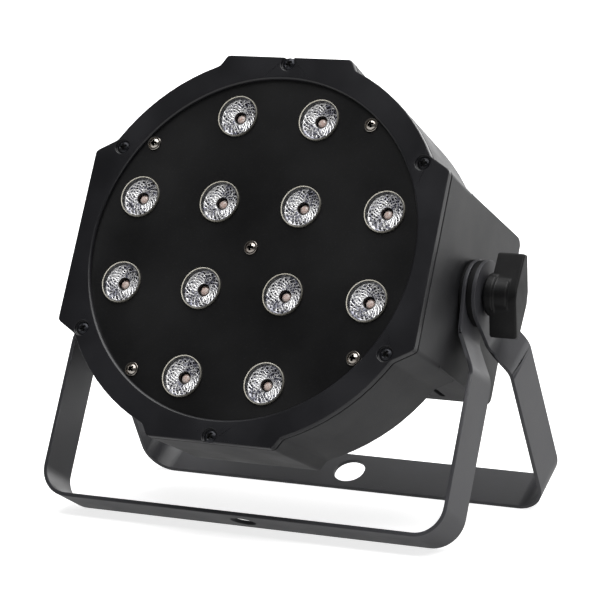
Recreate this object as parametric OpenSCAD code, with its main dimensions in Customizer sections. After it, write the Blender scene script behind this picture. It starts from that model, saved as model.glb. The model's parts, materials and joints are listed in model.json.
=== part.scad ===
/* [Stance] */
// Height of the pivot axis above the floor
pivot_height = 117.4; // [114:0.1:124]
// Upward tilt of the head at rest, degrees
tilt = 25.7; // [10:0.1:40]
// Forward lean of the front yoke, degrees
front_lean = 25.6; // [18:0.1:30]
// Backward lean of the rear yoke, degrees
rear_lean = 30.6; // [22:0.1:36]

/* [Yokes] */
// Width of the steel strip
strip_w = 25; // [22:0.5:28]
// Thickness of the steel strip
strip_t = 2; // [1.6:0.1:2.2]
// Radius of the round ears at the pivot
ear_r = 16.5; // [15:0.5:18]
// Outer radius of the two bottom bends
corner_r = 15.5; // [12:0.5:18]
// Outer face of the front yoke's legs, from the middle
front_leg_x = 110.5; // [109:0.1:111]
// Outer face of the rear yoke's legs, from the middle
rear_leg_x = 114.8; // [114.4:0.1:116]
// Clamp hole in the middle of the front bar
front_hole_d = 13; // [8:0.5:14]
// Clamp hole in the middle of the rear bar
rear_hole_d = 16.5; // [10:0.5:18]

/* [Head] */
// Distance from the pivot axis forward to the bezel's face
face_reach = 51.8; // [50:0.1:53]
// Distance from the pivot axis back to the housing's rear
rear_reach = 48; // [46:0.1:50]
// Distance from the pivot axis to each flat side
side_reach = 96.6; // [96:0.1:96.8]
// Distance from the pivot axis to the top and bottom flats
flat_reach = 98; // [97:0.1:98.6]
// Radius of the round stretches of the outline
drum_r = 99.5; // [99:0.1:100]
// Half height of the rear block
block_half = 43.5; // [42.5:0.1:44]
// Inward draft of the drum from front to back
draft = 3.6; // [2:0.1:4]
// Wall thickness of the housing
wall = 2.5; // [2:0.1:2.8]

/* [Front] */
// Radius of the round opening in the bezel
opening_r = 86.8; // [86:0.1:87.5]
// Thickness of the bezel
bezel_t = 3.8; // [3.4:0.1:4.2]
// Spacing of the lamp grid
led_pitch = 44.5; // [43:0.1:45]
// Diameter of the lamp holes in the panel
lens_hole_d = 20; // [19:0.1:20.6]
// Radius of the circle of bezel screws
bezel_screw_r = 94.9; // [94.6:0.1:95.2]
// Radius of the circle of panel screws
panel_screw_r = 82.8; // [82:0.1:83.5]

/* [Knobs] */
// Length of the knob's wing
wing_l = 41; // [36:1:44]
// Thickness of the wing at its middle
wing_t = 15; // [12:0.5:16]
// Turn of the wing from upright, degrees
wing_turn = 14; // [0:1:90]

/* [Hidden] */
$fn = 64;

// Running gap left between flat faces that turn on each other.
face_gap = 0.1;
// Radial clearance of a shaft in its hole.
slip = 0.05;
// Overshoot of a cutter past the face it opens.
over = 1;

// Stack along the pivot axis, from the housing's flat side outward.
inner_washer_t = 1.8;
outer_washer_t = 3.1;
front_ear_x = side_reach + inner_washer_t + strip_t;
rear_ear_x = front_ear_x + outer_washer_t + strip_t;
clamp_washer_t = 1.2;
clamp_washer_r = 8.4;
hub_x = rear_ear_x + clamp_washer_t + face_gap;
collar_end_x = 111.5;
collar_r = 10.6;
hub_end_x = 118.5;
hub_r = 9.6;
wing_x = 109;
knob_end_x = 123;
stud_r = 3.95;
stud_top_x = 117;
stud_tip_x = 86;
insert_r = 6.5;
insert_l = 13;

// Yoke strip: where the joggle starts, its bend radius and its angle.
joggle_start = 19.5;
joggle_r = 12;
joggle_angle = 29;

// The origin is under the middle of the object's box.
front_extent = face_reach * cos(tilt) + flat_reach * sin(tilt);
rear_bar_reach = (pivot_height - strip_w / 2 * sin(rear_lean)) / cos(rear_lean);
rear_extent = rear_bar_reach * sin(rear_lean) + strip_w / 2 * cos(rear_lean);
pivot_y = (front_extent - rear_extent) / 2;

// Depths in the head, measured back from the pivot axis.
face_y = -face_reach;
bezel_back_y = face_y + bezel_t;
panel_t = 1.5;
panel_y = bezel_back_y - panel_t;
panel_r = 90.3;
drum_back_y = 3;
board_y = -34.2;
board_t = 1.6;
sink_y = board_y + board_t;
sink_t = 4;
fin_back_y = -8;
board_r = 88;
rear_plate_t = 1.6;
rear_plate_y = rear_reach - rear_plate_t - 0.2;
plate_face_y = rear_plate_y + rear_plate_t;

// Lens and holder.
lens_front_y = bezel_back_y + 0.1;
lens_flange_r = 10.8;
lens_flange_t = 1.8;
lens_depth = 11.5;
holder_r = 11.6;

// Outline corners: convex rounding and the concave neck beside each tab.
tab_corner_r = 3;
top_tab_half = 34;
top_neck_r = 4;
side_tab_half = 44.5;
side_neck_r = 5;
tab_lean = 29.5;
round_steps = 4;
arc_steps = 9;

// Lamp positions: a square grid of four by four without its corners.
steps = [-1.5, -0.5, 0.5, 1.5];
lamps = [for (row = steps, col = steps)
    if (abs(row) + abs(col) < 3) [col * led_pitch, -row * led_pitch]];

bezel_angles = [30:60:330];
bezel_boss_r = 3.6;
bezel_boss_l = 12;
bezel_pocket_r = 3.9;
bezel_pocket_depth = 1.3;
panel_angles = [52.4:90:322.4];
panel_screw_spots = concat([[0, 0]],
    [for (a = panel_angles) panel_screw_r * [cos(a), sin(a)]]);
sink_post = 60;
sink_post_r = 4;
power_posts = [for (x = [-40, 40], z = [52, 76]) [x, z]];
power_post_r = 3;
power_board_size = [90, 34];
power_board_z = 64;
power_board_t = 1.6;
power_board_back = -4.4;
plate_screws = [for (x = [-89, 0, 89], z = [-36, 36]) [x, z]];
// Thread radius of the small screws, and of the rear plate's.
screw_r = 1.5;
plate_screw_r = 1.4;
// Size of the rear plate, and of the opening behind it.
plate_size = [184, 78];
plate_opening = [172, 66];
plate_corner_r = 2;

// Connectors and controls on the rear panel, seen as [x, z].
dmx_in_at = [-15, -20];
dmx_out_at = [15, -20];
inlet_at = [60, -14];
outlet_at = [-60, -14];
fuse_at = [64, 19];
eye_at = [-60, 20];
display_at = [0, 20];
button_z = 2.6;
button_step = 13;

// ---- placing ----

module at_pivot() {
    translate([0, pivot_y, pivot_height]) children();
}

module in_head() {
    at_pivot() rotate([-tilt, 0, 0]) children();
}

// A flat shape, drawn as seen from the front, given depth from y on.
module slab(y, depth) {
    translate([0, y + depth, 0]) rotate([90, 0, 0]) linear_extrude(depth) children();
}

// A round piece whose profile is drawn as radius and depth from y on.
module turned(x, y, z) {
    translate([x, y, z]) rotate([-90, 0, 0]) rotate_extrude() children();
}

// A rod along the depth of the head.
module rod(x, y, z, radius, length) {
    translate([x, y, z]) rotate([-90, 0, 0]) cylinder(r = radius, h = length);
}

// A ring or rod along the pivot axis, on the side given as -1 or 1.
module axial(side, x, length, radius, bore = 0) {
    rotate([0, 90 * side, 0]) translate([0, 0, x]) difference() {
        cylinder(r = radius, h = length);
        if (bore > 0) translate([0, 0, -over]) cylinder(r = bore, h = length + 2 * over);
    }
}

module rounded_rect(width, height, radius) {
    square([width - 2 * radius, height], center = true);
    square([width, height - 2 * radius], center = true);
    for (x = [-1, 1], y = [-1, 1])
        translate([x * (width / 2 - radius), y * (height / 2 - radius)]) circle(radius);
}

// ---- yokes ----

module straight(length) {
    translate([-strip_t / 2, -length, -strip_w / 2]) cube([strip_t, length, strip_w]);
    translate([0, -length, 0]) children();
}

// The strip turns by angle: outward if out is 1, inward if it is -1.
module bend(radius, angle, out) {
    mirror([out < 0 ? 1 : 0, 0, 0]) translate([radius, 0, 0])
        rotate_extrude(angle = angle, start = 180)
            translate([radius - strip_t / 2, -strip_w / 2]) square([strip_t, strip_w]);
    translate([out * radius * (1 - cos(angle)), -radius * sin(angle), 0])
        rotate([0, 0, out * angle]) children();
}

module ear_shape() {
    tangent = atan2(joggle_start, strip_w / 2)
        - acos(ear_r / norm([joggle_start, strip_w / 2]));
    edge = ear_r * [cos(tangent), -sin(tangent)];
    circle(ear_r);
    polygon([[-edge.x, edge.y], edge, [strip_w / 2, -joggle_start],
        [-strip_w / 2, -joggle_start]]);
}

module yoke(ear_x, leg_x, lean, hole_d) {
    reach = (pivot_height - strip_w / 2 * abs(sin(lean))) / cos(lean);
    shift = leg_x - ear_x;
    slope = (shift - 2 * joggle_r * (1 - cos(joggle_angle))) / sin(joggle_angle);
    bar_r = corner_r - strip_t / 2;
    joggle_drop = 2 * joggle_r * sin(joggle_angle) + slope * cos(joggle_angle);
    leg = reach - strip_t / 2 - bar_r - joggle_start - joggle_drop;
    bar_half = leg_x - strip_t / 2 - bar_r;
    at_pivot() rotate([lean, 0, 0]) difference() {
        for (side = [0, 1]) mirror([side, 0, 0]) {
            translate([ear_x - strip_t, 0, 0]) rotate([90, 0, 90])
                linear_extrude(strip_t) ear_shape();
            translate([ear_x - strip_t / 2, 0, 0]) rotate([90, 0, 0])
                straight(joggle_start) bend(joggle_r, joggle_angle, 1)
                straight(slope) bend(joggle_r, joggle_angle, -1)
                straight(leg) bend(bar_r, 90, -1) straight(bar_half);
        }
        rotate([0, 90, 0]) cylinder(r = stud_r + slip, h = 2 * leg_x, center = true);
        translate([0, 0, -reach - over]) cylinder(d = hole_d, h = strip_t + 2 * over);
    }
}

module front_yoke() {
    color("#3a3a3d") yoke(front_ear_x, front_leg_x, -front_lean, front_hole_d);
}

module rear_yoke() {
    color("#47464a") yoke(rear_ear_x, rear_leg_x, rear_lean, rear_hole_d);
}

module friction_washers(x, thickness) {
    at_pivot() for (side = [-1, 1])
        axial(side, x + face_gap, thickness - face_gap, ear_r - 0.3, stud_r + slip);
}

module inner_washers() {
    color("#151516") friction_washers(side_reach, inner_washer_t);
}

module outer_washers() {
    color("#151516") friction_washers(front_ear_x, outer_washer_t);
}

// ---- clamping knobs ----

module clamp_washer(side) {
    color("silver") at_pivot()
        axial(side, rear_ear_x + face_gap, clamp_washer_t, clamp_washer_r, stud_r + slip);
}

module wing_shape() {
    end_half = 1.8;
    middle_half = 3;
    top = wing_l / 2;
    polygon([[-end_half, top], [-wing_t / 2, middle_half], [-wing_t / 2, -middle_half],
        [-end_half, -top], [end_half, -top], [wing_t / 2, -middle_half],
        [wing_t / 2, middle_half], [end_half, top]]);
}

module knob(side) {
    color("#1c1c1e") at_pivot() difference() {
        union() {
            axial(side, hub_x, collar_end_x - hub_x, collar_r);
            axial(side, hub_x, hub_end_x - hub_x, hub_r);
            mirror([side < 0 ? 1 : 0, 0, 0]) translate([wing_x, 0, 0])
                rotate([-wing_turn, 0, 0]) rotate([90, 0, 90])
                    linear_extrude(knob_end_x - wing_x) wing_shape();
        }
        axial(side, hub_x - over, stud_top_x - hub_x + over, stud_r);
    }
}

module stud(side) {
    color("silver") at_pivot() difference() {
        axial(side, stud_tip_x, stud_top_x - stud_tip_x, stud_r);
        // A run-out groove ends the thread below the hub.
        axial(side, hub_x - 3, 1, stud_r + over, stud_r - 0.5);
    }
}

module clamp_washer_left() { clamp_washer(-1); }
module clamp_washer_right() { clamp_washer(1); }
module knob_left() { knob(-1); }
module knob_right() { knob(1); }
module stud_left() { stud(-1); }
module stud_right() { stud(1); }

module pivot_inserts() {
    color("#b08d4a") at_pivot() for (side = [-1, 1])
        axial(side, side_reach - insert_l, insert_l, insert_r, stud_r + slip);
}

// ---- housing ----

function reverse(points) = [for (i = [len(points) - 1:-1:0]) points[i]];
function swap(points) = [for (p = points) [p.y, p.x]];

// Middle of the concave round beside a tab that points towards +y.
function neck_middle(reach, half, neck_r) =
    let (n = [cos(tab_lean), sin(tab_lean)], out = n * [half, reach] + neck_r)
    n * out - [n.y, -n.x] * sqrt(pow(drum_r + neck_r, 2) - out * out);

// From the tab's flat, round its corner and through its neck to the drum.
function tab_edge(reach, half, neck_r, inset) =
    let (n = [cos(tab_lean), sin(tab_lean)],
        corner = [half - tab_corner_r * (1 - n.y) / n.x, reach - tab_corner_r],
        neck = neck_middle(reach, half, neck_r),
        turn = atan2(neck.y, neck.x) - tab_lean)
    concat(
        [for (i = [0:round_steps]) let (a = 90 + (tab_lean - 90) * i / round_steps)
            corner + (tab_corner_r - inset) * [cos(a), sin(a)]],
        [for (i = [0:round_steps]) let (a = tab_lean + 180 + turn * i / round_steps)
            neck + (neck_r + inset) * [cos(a), sin(a)]]);

// One quarter of the head's outline, from the side flat to the top flat.
function quarter(inset) =
    let (side = neck_middle(side_reach, side_tab_half, side_neck_r),
        top = neck_middle(flat_reach, top_tab_half, top_neck_r),
        a0 = atan2(side.x, side.y), a1 = atan2(top.y, top.x))
    concat(swap(tab_edge(side_reach, side_tab_half, side_neck_r, inset)),
        [for (i = [1:arc_steps - 1]) let (a = a0 + (a1 - a0) * i / arc_steps)
            (drum_r - inset) * [cos(a), sin(a)]],
        reverse(tab_edge(flat_reach, top_tab_half, top_neck_r, inset)));

module head_outline(inset = 0) {
    q = quarter(inset);
    polygon(concat(q, [for (p = reverse(q)) [-p.x, p.y]], [for (p = q) -p],
        [for (p = reverse(q)) [p.x, -p.y]]));
}

// The drum, whose top and bottom draw in towards the back.
module drum(inset, y0, y1) {
    shrink = draft / flat_reach / (drum_back_y - bezel_back_y);
    s0 = 1 - shrink * (y0 - bezel_back_y);
    s1 = 1 - shrink * (y1 - bezel_back_y);
    translate([0, y0, 0]) rotate([-90, 0, 0])
        linear_extrude(y1 - y0, slices = 1, scale = [1, s1 / s0]) scale([1, s0]) head_outline(inset);
}

module block_profile() {
    radius = 5;
    start = -20;
    translate([start, -block_half]) square([rear_reach - radius - start, 2 * block_half]);
    translate([0, radius - block_half]) square([rear_reach, 2 * (block_half - radius)]);
    for (z = [-1, 1]) translate([rear_reach - radius, z * (block_half - radius)]) circle(radius);
}

module rear_block() {
    rotate([90, 0, 90]) linear_extrude(2 * side_reach, center = true) block_profile();
}

module vent_slots() {
    slot_w = 3;
    slot_l = 24;
    for (x = [-76:8:76]) translate([x, 24]) {
        square([slot_w, slot_l - slot_w], center = true);
        for (end = [-1, 1]) translate([0, end * (slot_l - slot_w) / 2]) circle(slot_w / 2, $fn = 24);
    }
}

module main_housing() {
    ledge_y = rear_plate_y - wall;
    color("#2a2a2c") in_head() difference() {
        union() {
            difference() {
                union() {
                    drum(0, bezel_back_y, drum_back_y);
                    rear_block();
                }
                drum(wall, bezel_back_y - over, drum_back_y - wall);
                translate([-side_reach + wall, bezel_back_y + over, -block_half + wall])
                    cube([2 * (side_reach - wall), ledge_y - bezel_back_y - over, 2 * (block_half - wall)]);
                slab(ledge_y - over, 10) square(plate_opening, center = true);
                slab(rear_plate_y, 10)
                    rounded_rect(plate_size.x + 0.4, plate_size.y + 0.4, plate_corner_r);
                // Parting groove behind the bezel.
                slab(bezel_back_y - over, over + 1) difference() {
                    square(220, center = true);
                    head_outline(1);
                }
                for (side = [-1, 1]) translate([0, 0, side * block_half])
                    linear_extrude(3 * wall, center = true) vent_slots();
            }
            intersection() {
                for (a = bezel_angles)
                    rod(bezel_screw_r * cos(a), bezel_back_y, bezel_screw_r * sin(a),
                        bezel_boss_r, bezel_boss_l);
                rod(0, bezel_back_y, 0, flat_reach - 1.5, bezel_boss_l, $fn = 180);
            }
            for (x = [-1, 1], z = [-1, 1])
                rod(x * sink_post, sink_y + sink_t, z * sink_post, sink_post_r,
                    drum_back_y - wall / 2 - sink_y - sink_t);
            for (p = power_posts) rod(p.x, power_board_back, p.y, power_post_r,
                drum_back_y - wall / 2 - power_board_back);
            for (side = [-1, 1]) axial(side, side_reach - insert_l, insert_l - wall / 2, 10);
        }
        for (side = [-1, 1])
            axial(side, side_reach - insert_l - over, insert_l + 2 * over, insert_r);
        for (a = bezel_angles)
            rod(bezel_screw_r * cos(a), bezel_back_y - over, bezel_screw_r * sin(a), screw_r, 11);
        for (x = [-1, 1], z = [-1, 1])
            rod(x * sink_post, sink_y + sink_t - over, z * sink_post, screw_r, 11);
        for (p = plate_screws) rod(p.x, rear_plate_y - 8, p.y, plate_screw_r, 9);
    }
}

// ---- front ----

module front_bezel() {
    bevel = 0.8;
    color("#26272b") in_head() difference() {
        slab(face_y, bezel_t) head_outline();
        rod(0, face_y - over, 0, opening_r, bezel_t + 2 * over, $fn = 180);
        translate([0, face_y, 0]) rotate([-90, 0, 0])
            cylinder(r1 = opening_r + bevel, r2 = opening_r, h = bevel, $fn = 180);
        rod(0, panel_y, 0, panel_r + 0.1, panel_t + over, $fn = 180);
        for (a = bezel_angles) {
            rod(bezel_screw_r * cos(a), face_y - over, bezel_screw_r * sin(a), bezel_pocket_r,
                over + bezel_pocket_depth);
            rod(bezel_screw_r * cos(a), face_y, bezel_screw_r * sin(a), screw_r + 0.1,
                bezel_t + over);
        }
    }
}

module front_panel() {
    color("#1a1a1b") in_head() slab(panel_y, panel_t) difference() {
        circle(panel_r, $fn = 180);
        for (p = lamps) translate(p) circle(d = lens_hole_d);
        for (p = panel_screw_spots) translate(p) circle(screw_r + 0.1);
    }
}

// A pan-head screw along the depth, its head facing forward at y.
module cross_screw(x, y, z, head_r, head_h, shank_r, length, washer_r = 0) {
    slot = 0.75;
    dome_r = (head_r * head_r + head_h * head_h) / (2 * head_h);
    translate([x, y, z]) rotate([-90, 0, 0]) {
        difference() {
            intersection() {
                translate([0, 0, dome_r - head_h]) sphere(dome_r);
                translate([0, 0, -head_h]) cylinder(r = head_r, h = head_h);
            }
            for (turn = [20, 110]) rotate(turn)
                translate([-head_r * 0.55, -slot / 2, -head_h - over])
                    cube([head_r * 1.1, slot, over + head_h * 0.7]);
        }
        cylinder(r = shank_r, h = length);
        if (washer_r > 0) cylinder(r = washer_r, h = 0.5);
    }
}

module bezel_screws() {
    color("#101012") in_head() for (a = bezel_angles)
        cross_screw(bezel_screw_r * cos(a), face_y + bezel_pocket_depth, bezel_screw_r * sin(a),
            3.2, 1.1, screw_r, bezel_t + 7);
}

module panel_screws() {
    color("#c9c9c6") in_head() for (p = panel_screw_spots)
        cross_screw(p.x, panel_y - 0.5, p.y, 2.8, 1.4, screw_r, 8, 3.5);
}

module panel_standoffs() {
    color("#b9a36a") in_head() for (p = panel_screw_spots) difference() {
        rod(p.x, bezel_back_y, p.y, 3, board_y - bezel_back_y);
        rod(p.x, bezel_back_y - over, p.y, screw_r, 10 + over);
    }
}

module lens(i) {
    color("#e6e9ec") in_head() turned(lamps[i].x, lens_front_y, lamps[i].y)
        polygon([[2.4, 0], [9.7, 0], [lens_flange_r, 0.5], [lens_flange_r, lens_flange_t],
            [9.7, lens_flange_t], [8.6, 4.6], [6.9, 8.2], [4.6, lens_depth],
            [3.2, lens_depth], [3.2, 8.5], [0, 8.1], [0, 5], [2.2, 5]]);
}

module lens_01() { lens(0); }
module lens_02() { lens(1); }
module lens_03() { lens(2); }
module lens_04() { lens(3); }
module lens_05() { lens(4); }
module lens_06() { lens(5); }
module lens_07() { lens(6); }
module lens_08() { lens(7); }
module lens_09() { lens(8); }
module lens_10() { lens(9); }
module lens_11() { lens(10); }
module lens_12() { lens(11); }

module lens_holders() {
    lip_r = 9.8;
    depth = board_y - lens_front_y;
    color("#202022") in_head() for (p = lamps) turned(p.x, lens_front_y, p.y)
        polygon([[lens_flange_r, 0], [holder_r, 0], [holder_r, depth], [lip_r, depth],
            [lip_r, lens_flange_t], [lens_flange_r, lens_flange_t]]);
}

module led_emitters() {
    color("#e8dfa8") in_head() for (p = lamps) translate([p.x, board_y, p.y]) {
        translate([-2.5, -1, -2.5]) cube([5, 1, 5]);
        translate([0, -1, 0]) intersection() {
            sphere(1.7);
            translate([-2, -2, -2]) cube([4, 2.2, 4]);
        }
    }
}

module led_board() {
    color("#e9e9e4") in_head() slab(board_y, board_t) circle(board_r, $fn = 180);
}

module heat_sink() {
    fin_t = 1.6;
    fin_half = 40;
    color("#9a9c9e") in_head() {
        slab(sink_y, sink_t) difference() {
            circle(board_r, $fn = 180);
            for (x = [-1, 1], z = [-1, 1]) translate([x, z] * sink_post) circle(screw_r + 0.1);
        }
        for (x = [-72:8:72])
            translate([x - fin_t / 2, sink_y + sink_t, -fin_half])
                cube([fin_t, fin_back_y - sink_y - sink_t, 2 * fin_half]);
    }
}

module sink_screws() {
    color("#b8b8b6") in_head() for (x = [-1, 1], z = [-1, 1])
        rod(x * sink_post, sink_y, z * sink_post, screw_r, 12);
}

// ---- cooling fan ----

fan_size = 60;
fan_depth = 15;
fan_hub_r = 11;
fan_pin_r = 1.45;

module fan_frame() {
    color("#1b1b1d") in_head() translate([0, fin_back_y, 0]) {
        slab(0, fan_depth) difference() {
            rounded_rect(fan_size, fan_size, 4);
            circle(27.4);
            for (x = [-1, 1], z = [-1, 1]) translate([x, z] * 25) circle(2.2);
        }
        slab(fan_depth - 2, 2) {
            circle(fan_hub_r);
            for (turn = [0:120:240]) rotate(turn) translate([0, -1.5]) square([28.5, 3]);
        }
        rod(0, 4, 0, fan_pin_r, fan_depth - 5);
    }
}

module fan_rotor() {
    blades = 7;
    color("#242427") in_head() translate([0, fin_back_y, 0]) difference() {
        union() {
            rod(0, 2, 0, fan_hub_r, fan_depth - 5);
            for (i = [0:blades - 1]) rotate([0, i * 360 / blades, 0])
                translate([fan_hub_r - 1, 7, 0]) rotate([38, 0, 0])
                    translate([0, -5, -0.6]) cube([16.4, 10, 1.2]);
        }
        rod(0, 3.5, 0, fan_pin_r + slip, fan_depth);
    }
}

// ---- power and control ----

module power_board() {
    color("#2f5d3a") in_head() slab(power_board_back - power_board_t, power_board_t) difference() {
        translate([0, power_board_z]) square(power_board_size, center = true);
        for (p = power_posts) translate(p) circle(screw_r + 0.1);
    }
}

module power_parts() {
    color("#3d3a36") in_head() {
        translate([-18, -22, 54]) cube([26, 16, 20]);
        for (x = [22, 34]) rod(x, -24, 60, 5, 18);
        rod(-32, -20, 66, 6, 14);
    }
}

module panel_cutouts() {
    translate(display_at) square([50, 18], center = true);
    for (i = [-1.5:1.5]) translate([i * button_step, button_z]) circle(button_r + 0.08);
    for (p = [dmx_in_at, dmx_out_at]) translate(p) circle(shell_r);
    translate(dmx_out_at + [0, latch_z + latch_size.z / 2])
        square([latch_size.x + 1, latch_size.z + 0.8], center = true);
    for (p = [inlet_at, outlet_at]) translate(p) square([30, 22], center = true);
    translate(fuse_at) circle(6.5);
    for (x = [-eye_r, eye_r]) translate(eye_at + [x, 0]) circle(eye_rod_r + slip);
    for (p = plate_screws) translate(p) circle(plate_screw_r + 0.1);
}

button_r = 3.5;
eye_r = 8;
eye_rod_r = 2.5;

module rear_panel() {
    color("#1d1d1f") in_head() slab(rear_plate_y, rear_plate_t) difference() {
        rounded_rect(plate_size.x, plate_size.y, plate_corner_r);
        panel_cutouts();
    }
}

module rear_panel_screws() {
    color("#141416") in_head() for (p = plate_screws)
        translate([p.x, plate_face_y, p.y]) rotate([0, 0, 180])
            cross_screw(0, 0, 0, 2.6, 1.3, plate_screw_r, 7);
}

module display_window() {
    color("#3a1216") in_head() {
        slab(plate_face_y, 0.6) translate(display_at) rounded_rect(54, 22, 2);
        slab(plate_face_y - 1.8, 1.8) translate(display_at) square([49.8, 17.8], center = true);
    }
}

module display_module() {
    color("#26262a") in_head() slab(plate_face_y - 8.8, 7) translate(display_at)
        square([48, 17], center = true);
}

module control_board() {
    color("#2f5d3a") in_head() {
        slab(plate_face_y - 10.4, 1.6) translate([0, 13]) square([64, 36], center = true);
        for (i = [-1.5:1.5]) slab(plate_face_y - 8.8, 3.6)
            translate([i * button_step, button_z]) square(6, center = true);
    }
}

module button(i) {
    x = (i - 1.5) * button_step;
    color("#c8c8c4") in_head() {
        rod(x, rear_plate_y - 1.4, button_z, button_r, 4.6);
        rod(x, rear_plate_y - 1.4, button_z, button_r + 1, 1.2);
    }
}

module menu_button() { button(0); }
module down_button() { button(1); }
module up_button() { button(2); }
module enter_button() { button(3); }

// ---- connectors ----

shell_r = 12;
shell_depth = 22;
shell_bore_r = 9.5;
cavity_depth = 15;
// The latch of the outgoing connector, above its middle.
latch_z = 10.1;
latch_size = [7, 6.5, 2.8];

module xlr_shell(at) {
    translate([at.x, plate_face_y, at.y]) {
        slab(0, 2) difference() {
            rounded_rect(26, 31, 3);
            circle(shell_bore_r);
            for (side = [-1, 1]) translate([side * 9.5, side * 12]) circle(1.6);
        }
        slab(-shell_depth, shell_depth) difference() {
            circle(shell_r - slip);
            circle(shell_bore_r);
        }
        slab(-shell_depth, shell_depth - cavity_depth) circle(shell_bore_r);
    }
}

function pin_ring(radius) = [for (a = [45, -45, 180]) radius * [cos(a), sin(a)]];

module dmx_in_shell() {
    color("#2b2b2e") in_head() difference() {
        xlr_shell(dmx_in_at);
        for (p = pin_ring(5)) rod(dmx_in_at.x + p.x, 0, dmx_in_at.y + p.y, 1.15, 60);
    }
}

module dmx_in_pins() {
    color("#c7b27a") in_head() for (p = pin_ring(5))
        rod(dmx_in_at.x + p.x, plate_face_y - shell_depth - 3, dmx_in_at.y + p.y, 1.15,
            shell_depth + 3 - 4.6);
}

module dmx_out_shell() {
    color("#2b2b2e") in_head() difference() {
        union() {
            xlr_shell(dmx_out_at);
            rod(dmx_out_at.x, plate_face_y - cavity_depth - over, dmx_out_at.y, 7.9, cavity_depth + over + 1);
        }
        for (p = pin_ring(5))
            rod(dmx_out_at.x + p.x, plate_face_y - 11, dmx_out_at.y + p.y, 1.25, 20);
        translate([dmx_out_at.x - latch_size.x / 2 - 0.1, plate_face_y - 6, dmx_out_at.y + latch_z - 0.1])
            cube([latch_size.x + 0.2, 12, latch_size.z + 0.2]);
    }
}

module dmx_out_latch() {
    color("#b9b9b7") in_head() translate([dmx_out_at.x - latch_size.x / 2, plate_face_y - 3, dmx_out_at.y + latch_z])
        cube(latch_size);
}

// The cut-corner outline of a mains connector.
module mains_shape(width, height) {
    cut = 5;
    polygon([[-width / 2, -height / 2], [width / 2, -height / 2], [width / 2, height / 2 - cut],
        [width / 2 - cut, height / 2], [cut - width / 2, height / 2], [-width / 2, height / 2 - cut]]);
}

blades = [[-7, -1.5], [7, -1.5], [0, 2.5]];

module mains_flange(at) {
    slab(plate_face_y, 2.4) translate(at) difference() {
        rounded_rect(50, 25, 5);
        mains_shape(25, 17.5);
        for (side = [-1, 1]) translate([side * 20, 0]) circle(1.7);
    }
    slab(plate_face_y - 22, 22) translate(at) difference() {
        square([29.8, 21.8], center = true);
        mains_shape(25, 17.5);
    }
    slab(plate_face_y - 22, 6) translate(at) mains_shape(25, 17.5);
}

module mains_inlet() {
    color("#18181a") in_head() difference() {
        mains_flange(inlet_at);
        slab(plate_face_y - 30, 20) for (b = blades) translate(inlet_at + b)
            square([2, 4], center = true);
    }
}

module inlet_pins() {
    color("#c4c6c8") in_head() slab(plate_face_y - 27, 22.4) for (b = blades)
        translate(inlet_at + b) square([2, 4], center = true);
}

module mains_outlet() {
    color("#18181a") in_head() difference() {
        union() {
            mains_flange(outlet_at);
            slab(plate_face_y - 17, 18.5) translate(outlet_at) mains_shape(21.5, 14);
        }
        slab(plate_face_y - 12, 20) for (b = blades) translate(outlet_at + b)
            square([2.4, 4.6], center = true);
    }
}

module fuse_holder() {
    color("#18181a") in_head() translate([fuse_at.x, plate_face_y, fuse_at.y]) difference() {
        union() {
            rod(0, -30, 0, 6.45, 30);
            rod(0, 0, 0, 8, 2);
        }
        rod(0, -26, 0, 5.2, 40);
    }
}

module fuse_cap() {
    color("#141415") in_head() translate([fuse_at.x, plate_face_y, fuse_at.y]) difference() {
        union() {
            rod(0, -6, 0, 5.15, 9);
            rod(0, 2.1, 0, 6, 3.4);
        }
        translate([-4, 4.6, -0.6]) cube([8, 3, 1.2]);
        rod(0, -6 - over, 0, 2.6, 4 + over);
    }
}

module fuse_link() {
    color("#d8dce0") in_head() rod(fuse_at.x, plate_face_y - 24, fuse_at.y, 2.5, 20);
}

module safety_eye() {
    standing = 7;
    color("#6f7072") in_head() translate([eye_at.x, plate_face_y, eye_at.y]) {
        for (x = [-eye_r, eye_r]) {
            rod(x, -6, 0, eye_rod_r, 6 + standing);
            rod(x, 0, 0, 4.5, 1.2);
            rod(x, -rear_plate_t - 3, 0, 4, 3);
        }
        translate([0, standing, 0]) rotate_extrude(angle = 180) translate([eye_r, 0]) circle(eye_rod_r);
    }
}

front_yoke();
inner_washers();
rear_yoke();
outer_washers();
clamp_washer_left();
clamp_washer_right();
knob_left();
knob_right();
stud_left();
stud_right();
pivot_inserts();
main_housing();
front_bezel();
front_panel();
bezel_screws();
panel_screws();
panel_standoffs();
lens_01();
lens_02();
lens_03();
lens_04();
lens_05();
lens_06();
lens_07();
lens_08();
lens_09();
lens_10();
lens_11();
lens_12();
lens_holders();
led_emitters();
led_board();
heat_sink();
sink_screws();
fan_frame();
fan_rotor();
power_board();
power_parts();
rear_panel();
rear_panel_screws();
display_window();
display_module();
control_board();
menu_button();
down_button();
up_button();
enter_button();
dmx_in_shell();
dmx_in_pins();
dmx_out_shell();
dmx_out_latch();
mains_inlet();
inlet_pins();
mains_outlet();
fuse_holder();
fuse_cap();
fuse_link();
safety_eye();
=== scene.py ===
# %% [markdown]
# A flat par can light, piece by piece
#
# A par can is a stage light. This flat kind has twelve small LED lamps behind
# a black panel, a shallow moulded housing, and two nested steel yokes that
# open into a floor stand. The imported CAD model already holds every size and
# place. This lesson gives it what the eye notices: soft edges, screws, faceted
# lenses, surface finishes and studio light.

# %% Load the frame
import json
import math
import random

import bmesh
import bpy
import numpy as np
from mathutils import Matrix, Vector


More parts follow.
